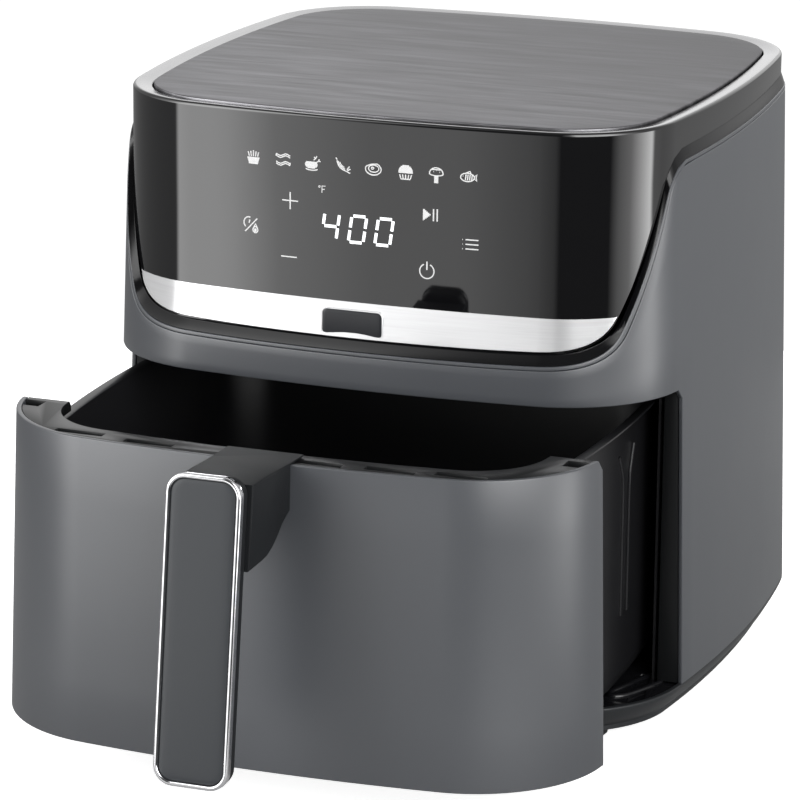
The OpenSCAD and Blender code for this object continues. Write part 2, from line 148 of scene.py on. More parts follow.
# meshes
def finishMesh(bm, name, angle=32.0, fixNormals=True):
    bmesh.ops.remove_doubles(bm, verts=bm.verts[:], dist=1e-7)
    if fixNormals:
        bmesh.ops.recalc_face_normals(bm, faces=bm.faces[:])
    mesh = bpy.data.meshes.new(name)
    bm.to_mesh(mesh)
    bm.free()
    mesh.shade_smooth()
    mesh.set_sharp_from_angle(angle=math.radians(angle))
    obj = bpy.data.objects.new(name, mesh)
    bpy.context.scene.collection.objects.link(obj)
    return obj


def growWall(columns, rows, place, closed=True):
    # a wall of quads, grown row by row: place(column, row) gives each corner in millimetres
    bm = bmesh.new()
    mark = bm.verts.layers.int.new("column")
    count = len(columns)
    if closed:
        verts = bmesh.ops.create_circle(bm, cap_ends=False, segments=count, radius=1)["verts"]
    else:
        verts = [bm.verts.new((i, 0, 0)) for i in range(count)]
        for i in range(count - 1):
            bm.edges.new((verts[i], verts[i + 1]))
    for i, v in enumerate(verts):
        v[mark] = i
        v.co = Vector(place(columns[i], 0)) * mm
    edges = bm.edges[:]
    for row in range(1, rows):
        made = bmesh.ops.extrude_edge_only(bm, edges=edges)["geom"]
        for v in made:
            if isinstance(v, bmesh.types.BMVert):
                v.co = Vector(place(columns[v[mark]], row)) * mm
        edges = [e for e in made if isinstance(e, bmesh.types.BMEdge) and e.is_boundary]
        fresh = {v for v in made if isinstance(v, bmesh.types.BMVert)}
        edges = [e for e in edges if e.verts[0] in fresh and e.verts[1] in fresh]
    return bm


def sweepSection(columns, section, closed=True):
    # a closed cross-section carried round an outline: section(column) gives its corners
    count = len(section(columns[0]))
    bm = growWall(columns, count + 1, lambda c, row: section(c)[row % count], closed)
    bmesh.ops.remove_doubles(bm, verts=bm.verts[:], dist=1e-7)
    if not closed:
        bmesh.ops.holes_fill(bm, edges=[e for e in bm.edges if e.is_boundary], sides=0)
    return bm


def allRound(count=None):
    n = count or body["columns"]
    return [2 * math.pi * i / n for i in range(n)]


def between(low, high, step=0.75):
    n = max(2, round(math.degrees(high - low) / step))
    return [low + (high - low) * i / n for i in range(n + 1)]


def onLine(line, angle, out, z):
    x, y = line.at(angle, out)
    return (x, y, z)


def roundOver(radius, steps=5, start=0.0, end=90.0):
    # inward and upward distances round a quarter turn, from an upright face to a level one
    angles = [math.radians(start + (end - start) * i / steps) for i in range(steps + 1)]
    return [(radius * (1 - math.cos(a)), radius * math.sin(a)) for a in angles]


def bevelSharp(bm, width, segments=3, angle=50.0, keep=None):
    bm.normal_update()
    edges = [e for e in bm.edges if len(e.link_faces) == 2 and e.calc_face_angle(0) > math.radians(angle)]
    if keep:
        edges = [e for e in edges if keep(e)]
    bmesh.ops.bevel(bm, geom=edges, offset=width * mm, offset_type="OFFSET", affect="EDGES",
                    segments=segments, profile=0.5, material=-1, clamp_overlap=True)


# materials: sockets wrapped so that sums on them read as sums
class Wire:
    def __init__(self, tree, socket):
        self.tree, self.socket = tree, socket

    def join(self, operation, other, swap=False):
        node = self.tree.nodes.new("ShaderNodeMath")
        node.operation = operation
        pair = (other, self) if swap else (self, other)
        for i, value in enumerate(pair):
            if isinstance(value, Wire):
                self.tree.links.new(value.socket, node.inputs[i])
            else:
                node.inputs[i].default_value = value
        return Wire(self.tree, node.outputs[0])

    def __add__(self, other):
        return self.join("ADD", other)

    def __radd__(self, other):
        return self.join("ADD", other, True)

    def __sub__(self, other):
        return self.join("SUBTRACT", other)

    def __rsub__(self, other):
        return self.join("SUBTRACT", other, True)

    def __mul__(self, other):
        return self.join("MULTIPLY", other)

    def __rmul__(self, other):
        return self.join("MULTIPLY", other, True)

    def __pow__(self, other):
        return self.join("POWER", other)


class Graph:
    # a node tree; values are numbers, tuples or wires
    def __init__(self, tree):
        self.tree = tree

    def node(self, kind, settings=None, **values):
        node = self.tree.nodes.new("ShaderNode" + kind)
        for key, value in (settings or {}).items():
            if key == "stops":
                ramp = node.color_ramp
                while len(ramp.elements) < len(value):
                    ramp.elements.new(0.5)
                for element, (place, color) in zip(ramp.elements, value):
                    element.position = place
                    element.color = (color, color, color, 1.0) if isinstance(color, (int, float)) else color
            else:
                setattr(node, key, value)
        for key, value in values.items():
            self.feed(node.inputs[key.replace("_", " ")], value)
        return node

    def feed(self, socket, value):
        if isinstance(value, Wire):
            self.tree.links.new(value.socket, socket)
        else:
            socket.default_value = value

    def out(self, node, socket=0):
        return Wire(self.tree, node.outputs[socket])

    def ramp(self, wire, stops):
        return self.out(self.node("ValToRGB", {"stops": stops}, Fac=wire))

    def place(self, scale=(1.0, 1.0, 1.0)):
        coords = self.out(self.node("TexCoord"), "Object")
        return self.out(self.node("Mapping", Vector=coords, Scale=scale))

    def noise(self, scale, detail=2.0, stretch=(1.0, 1.0, 1.0), roughness=0.5):
        node = self.node("TexNoise", Vector=self.place(stretch), Scale=scale, Detail=detail, Roughness=roughness)
        return self.out(node, "Fac")

    def mix(self, factor, low, high):
        node = self.node("Mix", {"data_type": "RGBA"})
        for socket, value in ((0, factor), (6, low), (7, high)):
            self.feed(node.inputs[socket], value + (1.0,) if isinstance(value, tuple) else value)
        return self.out(node, 2)


class Finish(Graph):
    # one material: fixed numbers go on the shader's sockets, patterns are linked to them
    def __init__(self, name, color, rough, metallic=0.0, **fixed):
        self.material = bpy.data.materials.new(name)
        self.material.use_nodes = True
        super().__init__(self.material.node_tree)
        self.shader = self.tree.nodes["Principled BSDF"]
        names = {"ior": "IOR", "specular": "Specular IOR Level", "tint": "Specular Tint",
                 "glow": "Emission Strength", "glowColor": "Emission Color"}
        values = {"Base Color": color + (1.0,), "Roughness": rough, "Metallic": metallic}
        values.update({names[key]: value for key, value in fixed.items()})
        for key, value in values.items():
            self.shader.inputs[key].default_value = value

    def link(self, socket, wire):
        self.tree.links.new(wire.socket, self.shader.inputs[socket])

    def bump(self, height, strength, distance):
        node = self.node("Bump", Height=height, Strength=strength, Distance=distance)
        self.tree.links.new(node.outputs["Normal"], self.shader.inputs["Normal"])


def shade(color, amount):
    return tuple(c * amount for c in color)


def sparkedPlastic(name, color, rough, grain=2600.0, depth=0.00003, **fixed):
    # moulded plastic with a fine sparked texture and slow changes of shine
    f = Finish(name, color, rough, **fixed)
    grit, cloud = f.noise(grain, 2.0), f.noise(14.0, 3.0)
    f.link("Base Color", f.mix(grit * 0.6 + cloud * 0.4, shade(color, 0.93), shade(color, 1.07)))
    f.link("Roughness", rough - 0.04 + cloud * 0.08)
    f.bump(grit, 0.35, depth)
    return f.material


def glossPlastic(name, color, rough, **fixed):
    # polished plastic: faint flow waves and a little dust
    f = Finish(name, color, rough, **fixed)
    wave, dust = f.noise(9.0, 1.0), f.noise(1800.0, 1.0)
    f.link("Base Color", f.mix(dust, shade(color, 0.9), shade(color, 1.15)))
    f.link("Roughness", rough + (dust ** 8.0) * 0.15)
    f.bump(wave, 0.06, 0.0004)
    return f.material


def brushedMetal(name, color, rough, stretch, contrast=0.12, depth=0.00002, metallic=1.0, edge=1.0, paintedShade=0.0):
    # long scratches along one axis; edge is the tint seen at a slant; the last argument is a share of painted shade,
    # darkening the colour towards the far right corner in place of a sheen that falls off there
    f = Finish(name, color, rough, metallic, tint=(edge, edge, edge, 1.0))
    fine = f.noise(1.0, 6.0, stretch, 0.7)
    broad = f.noise(1.0, 3.0, tuple(s * 0.5 for s in stretch), 0.6)
    lines = f.ramp(fine * 0.55 + broad * 0.45, ((0.0, 0.0), (0.33, 0.0), (0.67, 1.0), (1.0, 1.0)))
    dark, light = shade(color, 1 - contrast * 3), shade(color, 1 + contrast * 3)
    tone = f.mix(lines, dark, light)
    # painted shade: the base colour blends into a darker copy going right and back across the piece, standing in for
    # the sheen falling away
    if paintedShade:
        split = f.node("SeparateXYZ", Vector=f.place())
        away = 0.42 + f.out(split, 0) * 2.6 + f.out(split, 1) * 2.2
        tone = f.mix(away, tone, f.mix(lines, shade(dark, 1 - paintedShade), shade(light, 1 - paintedShade)))
    f.link("Base Color", tone)
    f.link("Roughness", rough - contrast * 0.5 + lines * contrast)
    f.bump(lines, 0.5, depth)
    return f.material


def sheetMetal(name, color, rough):
    # rolled or pressed metal with faint clouding
    f = Finish(name, color, rough, 1.0)
    cloud, grain = f.noise(60.0, 4.0), f.noise(1500.0, 2.0, (0.1, 1.0, 1.0))
    f.link("Base Color", f.mix(cloud, shade(color, 0.82), shade(color, 1.12)))
    f.link("Roughness", rough - 0.05 + cloud * 0.12 + grain * 0.04)
    f.bump(grain, 0.2, 0.00002)
    return f.material


def nonStick(name, color, rough):
    # coated steel: a pebbled coat with tiny bright flakes
    f = Finish(name, color, rough, 0.0, specular=0.3)
    pebble, cloud = f.noise(900.0, 3.0), f.noise(25.0, 3.0)
    f.link("Base Color", f.mix(pebble ** 6.0, color, shade(color, 3.0)))
    f.link("Roughness", rough - 0.05 + cloud * 0.1)
    f.bump(pebble, 0.3, 0.00005)
    return f.material


finish = {
    "housing_grey": sparkedPlastic("housing_grey", (0.057, 0.061, 0.0685), 0.36, specular=1.15),
    "base_black": sparkedPlastic("base_black", (0.02, 0.0215, 0.0235), 0.36, specular=0.35),
    "foot_rubber": sparkedPlastic("foot_rubber", (0.014, 0.014, 0.015), 0.7, 900.0, 0.00006),
    "deck_black": glossPlastic("deck_black", (0.006, 0.006, 0.007), 0.16),
    "nylon_white": sparkedPlastic("nylon_white", (0.62, 0.62, 0.59), 0.45),
    "frame_black": sparkedPlastic("frame_black", (0.008, 0.0085, 0.009), 0.33, specular=0.3),
    "liner_steel": nonStick("liner_steel", (0.012, 0.012, 0.013), 0.4),
    "sheet_steel": sheetMetal("sheet_steel", (0.52, 0.52, 0.51), 0.34),
    "element_steel": sheetMetal("element_steel", (0.17, 0.145, 0.12), 0.42),
    "fan_metal": sheetMetal("fan_metal", (0.62, 0.62, 0.62), 0.3),
    "motor_steel": sheetMetal("motor_steel", (0.3, 0.3, 0.31), 0.45),
    "shaft_steel": brushedMetal("shaft_steel", (0.62, 0.62, 0.63), 0.2, (900.0, 900.0, 40.0)),
    "screw_steel": sheetMetal("screw_steel", (0.6, 0.6, 0.58), 0.28),
    "gloss_black": glossPlastic("gloss_black", (0.0035, 0.0035, 0.004), 0.03, ior=1.8),
    "band_steel": brushedMetal("band_steel", (0.9, 0.9, 0.91), 0.16, (30.0, 30.0, 1500.0), 0.02, 0.000006, 0.6),
    "badge_dark": glossPlastic("badge_dark", (0.022, 0.023, 0.026), 0.22),
    # the lid's steel carries painted shade: its colour darkens by up to half towards the far right corner
    "lid_steel": brushedMetal("lid_steel", (0.27, 0.267, 0.28), 0.36, (20.0, 230.0, 230.0), 0.15, 0.0001,
                              edge=0.6, paintedShade=0.5),
    "board_green": glossPlastic("board_green", (0.02, 0.13, 0.05), 0.35),
    "display_dark": glossPlastic("display_dark", (0.02, 0.02, 0.022), 0.1),
    "pad_brass": sheetMetal("pad_brass", (0.78, 0.55, 0.24), 0.3),
    "ceramic_white": sparkedPlastic("ceramic_white", (0.72, 0.7, 0.64), 0.5),
    "nonstick_black": nonStick("nonstick_black", (0.008, 0.008, 0.009), 0.3),
    "handle_black": sparkedPlastic("handle_black", (0.012, 0.013, 0.0145), 0.42, specular=0.15),
    "handle_chrome": glossPlastic("handle_chrome", (0.9, 0.9, 0.92), 0.05, metallic=1.0),
    "handle_soft": sparkedPlastic("handle_soft", (0.03, 0.033, 0.037), 0.44, 3200.0),
    "silicone_grey": sparkedPlastic("silicone_grey", (0.03, 0.03, 0.032), 0.6, 1200.0),
}
# looks of new pieces that share a slot with other pieces
white = (1.0, 1.0, 1.0, 1.0)
finish.update({
    "rim_steel": brushedMetal("rim_steel", (0.33, 0.33, 0.335), 0.14, (30.0, 30.0, 1500.0), 0.02, 0.000006),
    "trim_black": glossPlastic("trim_black", (0.004, 0.004, 0.0045), 0.1, ior=1.42),
    "print_white": sparkedPlastic("print_white", (0.5, 0.5, 0.5), 0.5, glow=0.28, glowColor=white),
    "digit_glow": sparkedPlastic("digit_glow", (0.6, 0.6, 0.6), 0.5, glow=1.2, glowColor=(0.93, 0.97, 1.0, 1.0)),
})
slotOf = {s["node"]: s["material_slot"] for s in frame["record"]["subparts"]}
for nodeName, obj in frame["nodes"].items():
    obj.data.materials.clear()
    obj.data.materials.append(finish[slotOf[nodeName]])
print("finishes done")


def settle(obj, slot, rider, *nodes, look=None):
    obj.data.materials.clear()
    obj.data.materials.append(finish[look or slot])
    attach(obj, rider)
    if nodes:
        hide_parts(*nodes)
    return obj


# camera, set before the pieces
view = {"azimuth": 19.601, "elevation": 14.655, "distance": 2.133, "aim": (0.0, 0.0, 0.1573), "lens": 191.34,
        "shiftX": -0.07397, "shiftY": -0.07656, "roll": 0.821}


def makeCamera():
    az, el = math.radians(view["azimuth"]), math.radians(view["elevation"])
    away = Vector((math.sin(az) * math.cos(el), -math.cos(az) * math.cos(el), math.sin(el)))
    data = bpy.data.cameras.new("camera")
    data.lens, data.sensor_width = view["lens"], 36.0
    data.shift_x, data.shift_y = view["shiftX"], view["shiftY"]
    data.clip_end = 50.0
    camera = bpy.data.objects.new("camera", data)
    roll = Matrix.Rotation(math.radians(view["roll"]), 3, "Z").to_quaternion()
    camera.rotation_euler = ((-away).to_track_quat("-Z", "Y") @ roll).to_euler()
    camera.location = Vector(view["aim"]) + away * view["distance"]
    bpy.context.scene.collection.objects.link(camera)
    bpy.context.scene.camera = camera


makeCamera()

# grey housing, its bead and the black trim
housing = {"wall": 2.2, "beadGap": 0.25, "bead": 1.7, "cornerR": 5.0, "edge": 0.45,
           "beadShape": ((-1.7, 1.8), (-1.7, 0.25), (-1.5, 0.02), (-0.5, 0.0), (-0.15, 0.12), (0.0, 0.4), (0.0, 1.8)),
           "trimShape": ((0.0, 0.03), (0.0, 0.85), (0.06, 0.95), (0.45, 0.62), (0.9, 0.12), (1.0, 0.02), (1.0, 0.0)),
           "trimIn": 0.35}


def makeHousing():
    edgeY, r = body["windowY"], housing["cornerR"]
    angles = allRound()
    for side in (1, -1):
        exact = headLine.angleAtY(edgeY, outAt(90.0))
        if side < 0:
            exact = math.pi - exact
        nearest = min(range(len(angles)), key=lambda i: abs(math.remainder(angles[i] - exact, 2 * math.pi)))
        angles[nearest] = exact % (2 * math.pi)
    shift = -(housing["bead"] + housing["beadGap"])

    def frontness(angle):
        return headLine.at(angle, outAt(90.0))[1]

    def windowZ(angle):
        y = frontness(angle)
        if y <= edgeY - r:
            return body["windowZ"]
        if y >= edgeY - 0.001:
            return body["windowZ"] - r
        return body["windowZ"] - r + math.sqrt(max(0.0, r * r - (y - edgeY + r) ** 2))

    def place(angle, row):
        low = windowZ(angle)
        top = trimZ(headLine.at(angle, outAt(230.0))[1], shift)
        z = [body["shellZ"], low][row] if row < 2 else low + (top - low) * (row - 1) / 4
        return onLine(headLine, angle, outAt(z), z)

    bm = growWall(angles, 6, place)
    cut = [f for f in bm.faces if max(v.co.z for v in f.verts) < (body["windowZ"] + 0.01) * mm
           and max(v.co.y for v in f.verts) < (edgeY + 0.3) * mm]
    bmesh.ops.delete(bm, geom=cut, context="FACES")
    bmesh.ops.recalc_face_normals(bm, faces=bm.faces[:])
    bmesh.ops.solidify(bm, geom=bm.faces[:], thickness=housing["wall"] * mm)
    bevelSharp(bm, housing["edge"], 3, 60.0)
    return settle(finishMesh(bm, "housing"), "housing_grey", "body", "outer_shell")


def makeTrimBead():
    def section(angle):
        y = headLine.at(angle, outAt(230.0))[1]
        points = []
        for shift, deep in housing["beadShape"]:
            z = trimZ(y, shift)
            points.append(onLine(headLine, angle, outAt(z) - min(deep, outAt(z) - 0.1), z))
        return points

    return settle(finishMesh(sweepSection(allRound(), section), "trimBead"), "housing_grey", "body")


def makeTrim():
    def section(angle):
        y = headLine.at(angle, outAt(230.0))[1]
        low, high = trimZ(y, 0.05), trimTopZ(y)
        points = []
        for up, share in housing["trimShape"]:
            z = low + (high - low) * up
            points.append(onLine(headLine, angle, max(0.05, (outAt(z) - housing["trimIn"]) * share), z))
        return points

    face = finishMesh(sweepSection(allRound(), section), "trimFace")
    return settle(face, "gloss_black", "body", "trim_ring", look="trim_black")


# gloss head with its rolled rim
head = {"wall": 2.5, "edgeR": 1.7, "crest": 2.2, "valley": 8.9, "dip": 1.25, "footZ": 293.0,
        "strip": ((-1.0, -0.2), (-1.25, -0.06), (-1.7, 0.02), (-2.4, 0.0), (-5.4, -0.64), (-8.9, -1.2), (-8.9, -1.6),
                  (-1.0, -1.6))}


def makeHead():
    top = body["rimZ"]
    rim = [(-d, top - head["edgeR"] + up) for d, up in roundOver(head["edgeR"], 7)]
    rim += [(-head["crest"], top - 0.06), (-head["valley"] * 0.6, top - head["dip"] * 0.55)]
    rim += [(-head["valley"], top - head["dip"]), (-head["valley"] - 0.5, top - head["dip"] - 0.4)]
    rim += [(-head["valley"] - 0.6, head["footZ"]), (-head["wall"], head["footZ"])]

    def section(angle):
        y = headLine.at(angle, 0.0)[1]
        low = trimTopZ(y) - 1.2
        points = [(0.0, low), (0.0, low + (top - head["edgeR"] - low) * 0.5)] + rim + [(-head["wall"], low)]
        return [onLine(headLine, angle, out, z) for out, z in points]

    return settle(finishMesh(sweepSection(allRound(), section), "glossHead", 50.0), "gloss_black", "body",
                  "head_cover", "control_panel")


# polished strip on the rim's crest and its inner slope
def makeRimStrip():
    def section(angle):
        return [onLine(headLine, angle, out, body["rimZ"] + up) for out, up in head["strip"]]

    strip = finishMesh(sweepSection(allRound(), section), "rimStrip", 40.0)
    return settle(strip, "band_steel", "body", look="rim_steel")


# bright band under the panel
band = {"topZ": 209.0, "proud": 0.04, "lean": 0.09, "deep": 1.2, "round": 0.3}


def makeBand():
    tip = headLine.angleAtY(next(y / 10 for y in range(-1440, -900) if trimTopZ(y / 10) > band["topZ"] - 0.4))
    angles = between(-math.pi - tip, tip, 0.5)

    def section(angle):
        y = headLine.at(angle, 0.0)[1]
        low, top = min(trimTopZ(y) + 0.1, band["topZ"] - 0.3), band["topZ"]
        r = min(band["round"], (top - low) / 3)
        foot = band["proud"] + band["lean"] * (top - low)
        rows = ((-band["deep"], low), (foot - r, low), (foot, low + r), (band["proud"], top - r),
                (band["proud"] - r, top), (-band["deep"], top))
        return [onLine(headLine, angle, out, z) for out, z in rows]

    strip = finishMesh(sweepSection(angles, section, False), "brightBand")
    return settle(strip, "band_steel", "body", "bright_band")


# blank badge with a bright edge
badge = {"x": -2.9, "z": 191.5, "width": 31.0, "height": 14.0, "cornerR": 3.0, "proud": 1.5}


def makeBadge():
    w, h, r = badge["width"] / 2, badge["height"], badge["cornerR"]
    line = []
    for turn, (sx, top) in enumerate(((1, 1), (-1, 1), (-1, 0), (1, 0))):
        x, z = badge["x"] + sx * (w - r), badge["z"] + (h - r if top else r)
        line += [(x, z, math.pi / 2 * (turn + i / 8)) for i in range(9)]

    def plate(name, rows, slot, nodes):
        def place(column, row):
            x, z, turn = column
            out, proud = rows[row]
            x += (r + out) * math.cos(turn)
            z += (r + out) * math.sin(turn)
            return onLine(headLine, headLine.angleAtX(x), proud, z)

        bm = growWall(line, len(rows), place)
        bmesh.ops.holes_fill(bm, edges=[e for e in bm.edges if e.is_boundary], sides=0)
        return settle(finishMesh(bm, name), slot, "body", *nodes)

    p = badge["proud"]
    edge = ((0.0, 0.1), (0.0, p - 0.2), (-0.15, p), (-0.55, p), (-0.6, p - 0.15), (-1.4, p - 0.2))
    face = ((-0.65, p - 0.4), (-0.65, p - 0.12), (-0.8, p - 0.04), (-2.0, p))
    plate("badgeEdge", edge, "band_steel", ())
    plate("badgeFace", face, "badge_dark", ("badge_plate",))


# steel lid plate, a shallow pressed tray turned over
lid = {"inset": 10.0, "topZ": 296.78, "edgeR": 0.8, "footZ": 293.0, "crown": 0.2,
       "dome": ((8, 0.1), (20, 0.17), (36, 0.2))}


def makeLid():
    edge, top, r = -lid["inset"], lid["topZ"] - lid["crown"], lid["edgeR"]
    rows = [(edge, lid["footZ"]), (edge, top - r)]
    rows += [(edge - d, top - r + up) for d, up in roundOver(r, 5)[1:]]
    rows += [(edge - r - d, top + up) for d, up in lid["dome"]]
    bm = growWall(allRound(), len(rows), lambda a, row: onLine(headLine, a, *rows[row]))
    inner = [e for e in bm.edges if e.is_boundary and e.verts[0].co.z > (lid["footZ"] + 1) * mm]
    bmesh.ops.holes_fill(bm, edges=inner, sides=0)
    return settle(finishMesh(bm, "lidPlate"), "lid_steel", "body", "top_plate")


# base tray with its lip, and the gloss deck inside the bay
base = {"lowZ": 4.0, "topZ": 20.5, "out": 9.2, "lipR": 0.8,
        "belly": ((-12.0, 0.0), (-8.2, 0.3), (-4.0, 1.5), (0.2, 3.8), (3.8, 6.9), (6.6, 10.3), (8.5, 13.6),
                  (9.2, 15.4)),
        "ledge": ((6.7, 20.5), (6.35, 20.2), (6.3, 18.0), (2.0, 18.0), (2.0, 7.0))}


def makeBase():
    profile = [(out, base["lowZ"] + up) for out, up in base["belly"]]
    profile += [(base["out"] - d, base["topZ"] - base["lipR"] + up) for d, up in roundOver(base["lipR"], 4)[1:]]
    profile += base["ledge"]
    bm = growWall(allRound(), len(profile), lambda a, row: onLine(headLine, a, *profile[row]))
    for low in (True, False):
        edges = [e for e in bm.edges if e.is_boundary and (e.verts[0].co.z < 5 * mm) == low]
        bmesh.ops.holes_fill(bm, edges=edges, sides=0)
    return settle(finishMesh(bm, "baseTray"), "base_black", "body", "base_tray")


makeHousing()
makeTrimBead()
makeTrim()
makeHead()
makeRimStrip()
makeBand()
makeBadge()
makeLid()
makeBase()
print("body done")

# drawer front
front = {"lowZ": 21.2, "topZ": 165.7, "endY": -84.0, "wall": 2.5, "cornerR": 5.0, "edge": 0.5, "centreY": -120.0}


def makeDrawerFront():
    endY = front["endY"] - body["open"]
    end = drawerLine.angleAtY(endY, outAt(90.0))
    angles = between(-math.pi - end, end)

    def topAt(angle):
        y, r = drawerLine.at(angle, outAt(90.0))[1], front["cornerR"]
        if y < endY - r:
            return front["topZ"]
        return front["topZ"] - r + math.sqrt(max(0.0, r * r - (y - endY + r) ** 2))

    def place(angle, row):
        z = front["lowZ"] + (topAt(angle) - front["lowZ"]) * row / 5
        return onLine(drawerLine, angle, outAt(z), z)

    bm = growWall(angles, 6, place, False)
    bmesh.ops.recalc_face_normals(bm, faces=bm.faces[:])
    centre = Vector((0.0, front["centreY"] * mm, 0.0))
    if sum(f.normal.dot(f.calc_center_median() - centre) for f in bm.faces) < 0:
        bmesh.ops.reverse_faces(bm, faces=bm.faces[:])
    bmesh.ops.solidify(bm, geom=bm.faces[:], thickness=front["wall"] * mm)
    bevelSharp(bm, front["edge"], 3, 60.0)
    return settle(finishMesh(bm, "drawerFront"), "housing_grey", "drawer", "drawer_front")


makeDrawerFront()

# pan: pressed, with a turned-out flange
pan = {"flangeZ": 158.0, "lowZ": 22.0, "sheet": 1.0, "flange": 5.0, "footR": 12.0, "neckR": 2.0}


def makePan():
    t, top, low, r = pan["sheet"], pan["flangeZ"], pan["lowZ"], pan["footR"]
    wall = -pan["flange"]
    outer = [(wall - d, low + r - up) for d, up in roundOver(r, 8)][::-1]
    outer += [(wall, top - t - pan["neckR"]), (wall + 0.6, top - t - 0.6), (wall + pan["neckR"], top - t)]
    outer += [(-0.4, top - t)]
    lip = [(0.0, top - t / 2), (-0.4, top)]
    inner = [(wall + pan["neckR"] - t, top), (wall - t + 0.6, top - 0.6), (wall - t, top - pan["neckR"])]
    inner += [(wall - t - d, low + t + (r - t) - up) for d, up in roundOver(r - t, 8)]
    rows = outer + lip + inner
    bm = growWall(allRound(), len(rows), lambda a, row: onLine(panLine, a, *rows[row]))
    for isLow in (True, False):
        edges = [e for e in bm.edges if e.is_boundary and (e.verts[0].co.z < (low + t / 2) * mm) == isLow]
        bmesh.ops.holes_fill(bm, edges=edges, sides=0)
    return settle(finishMesh(bm, "panShell"), "nonstick_black", "drawer", "pan")


makePan()


# handle: plated rim round a soft inlay, on a body that leans with it
handle = {"width": 35.4, "height": 139.0, "lean": 7.0, "x": -1.3, "y": -218.73 - body["open"], "z": 36.2,
          "cornerR": 9.0,
          "rim": ((0.0, 4.0), (0.0, 1.1), (-0.12, 0.62), (-0.42, 0.26), (-0.9, 0.08), (-1.3, 0.05), (-1.65, 0.12),
                  (-1.95, 0.34), (-2.1, 0.75), (-2.15, 4.0)),
          "inlay": ((0.0, 4.0), (0.0, 1.5), (-0.25, 1.15), (-0.8, 0.95), (-2.5, 0.8), (-5.0, 0.7)),
          "shell": ((-0.4, 1.2), (0.0, 1.7), (0.0, 9.0), (-0.35, 10.6), (-1.3, 11.9), (-2.8, 12.5))}
leanMatrix = (Matrix.Translation((handle["x"] * mm, handle["y"] * mm, handle["z"] * mm))
              @ Matrix.Rotation(math.radians(-handle["lean"]), 4, "X"))


def slabColumns(width, height, radius, steps=10):
    # round corners of an upright slab whose foot is at zero: each column is a corner's centre and a direction
    columns = []
    for turn, (sx, top) in enumerate(((1, 1), (-1, 1), (-1, 0), (1, 0))):
        x, z = sx * (width / 2 - radius), (height - radius if top else radius)
        columns += [(x, z, math.pi / 2 * (turn + i / steps)) for i in range(steps + 1)]
    return columns


def makeSlab(name, inset, rows, slot, node, ring=False):
    # rows are distances out from the corner circles and depths behind the front plane
    radius = handle["cornerR"] - inset
    columns = slabColumns(handle["width"] - 2 * inset, handle["height"] - 2 * inset, radius)
    count = len(rows)

    def place(column, row):
        x, z, turn = column
        out, deep = rows[row % count]
        r = radius + out
        return (x + r * math.cos(turn), deep, z + r * math.sin(turn) + inset)

    bm = growWall(columns, count + 1 if ring else count, place)
    bmesh.ops.remove_doubles(bm, verts=bm.verts[:], dist=1e-7)
    if not ring:
        bmesh.ops.holes_fill(bm, edges=[e for e in bm.edges if e.is_boundary], sides=0)
    bm.transform(leanMatrix)
    return settle(finishMesh(bm, name), slot, "drawer", node)


def makeHandle():
    makeSlab("handleRim", 0.0, handle["rim"], "handle_chrome", "handle_rim", True)
    makeSlab("handleInlay", 2.45, handle["inlay"], "handle_soft", "handle_insert")
    makeSlab("handleBody", 0.7, handle["shell"], "handle_black", "handle_body")


makeHandle()


# arm from the drawer's rim to the handle
arm = {"halfWidth": 18.3, "edge": 1.1, "topZ": 168.3, "lowZ": 130.2, "backY": -219.0, "backZ": 34.0, "slab": 12.6,
       "over": ((-131.0, 165.95), (-131.0, 166.5), (-150.0, 166.7), (-170.0, 167.9)),
       "under": ((-179.0, 130.8), (-173.5, 131.4), (-168.0, 133.2), (-162.0, 136.4), (-156.0, 140.8), (-150.5, 144.4),
                 (-147.6, 145.2), (-146.9, 165.9)),
       "softFrom": -148.0, "softTo": -267.5}


def makeArm():
    lean = math.radians(handle["lean"])

    def backY(z):
        return arm["backY"] + (z - arm["backZ"]) * math.tan(lean) + arm["slab"] / math.cos(lean) + 0.05

    side = list(arm["over"]) + [(backY(z), z) for z in (arm["topZ"], arm["lowZ"])] + list(arm["under"])
    x = handle["x"] - arm["halfWidth"]
    bm = bmesh.new()
    face = bm.faces.new([bm.verts.new((x * mm, (y - body["open"]) * mm, z * mm)) for y, z in side])
    made = bmesh.ops.extrude_face_region(bm, geom=[face])["geom"]
    moved = [v for v in made if isinstance(v, bmesh.types.BMVert)]
    bmesh.ops.translate(bm, vec=(2 * arm["halfWidth"] * mm, 0, 0), verts=moved)
    bmesh.ops.recalc_face_normals(bm, faces=bm.faces[:])
    lengthwise = {e for e in bm.edges if abs(e.verts[0].co.x - e.verts[1].co.x) > 0.001}
    rims = [e for e in bm.edges if e not in lengthwise and min(v.co.y for v in e.verts) < arm["softTo"] * mm
            and max(v.co.y for v in e.verts) < (arm["softFrom"] - body["open"]) * mm]
    bmesh.ops.bevel(bm, geom=rims, offset=arm["edge"] * mm, offset_type="OFFSET", affect="EDGES", segments=3,
                    profile=0.5, material=-1, clamp_overlap=True)
    return settle(finishMesh(bm, "handleArm", 40.0), "handle_black", "drawer", "handle_arm")


makeArm()


# raised beads: a round bar laid along a path
def barCurve(name, radius, roundness):
    curve = bpy.data.curves.new(name, "CURVE")
    curve.dimensions, curve.bevel_depth = "3D", radius * mm
    curve.bevel_resolution, curve.use_fill_caps = roundness, True
    return curve


def curveMesh(curve):
    # the curve's own mesh, after which the curve is thrown away
    holder = bpy.data.objects.new(curve.name, curve)
    mesh = bpy.data.meshes.new_from_object(holder)
    bm = bmesh.new()
    bm.from_mesh(mesh)
    for thing, store in ((holder, bpy.data.objects), (curve, bpy.data.curves), (mesh, bpy.data.meshes)):
        store.remove(thing)
    return bm


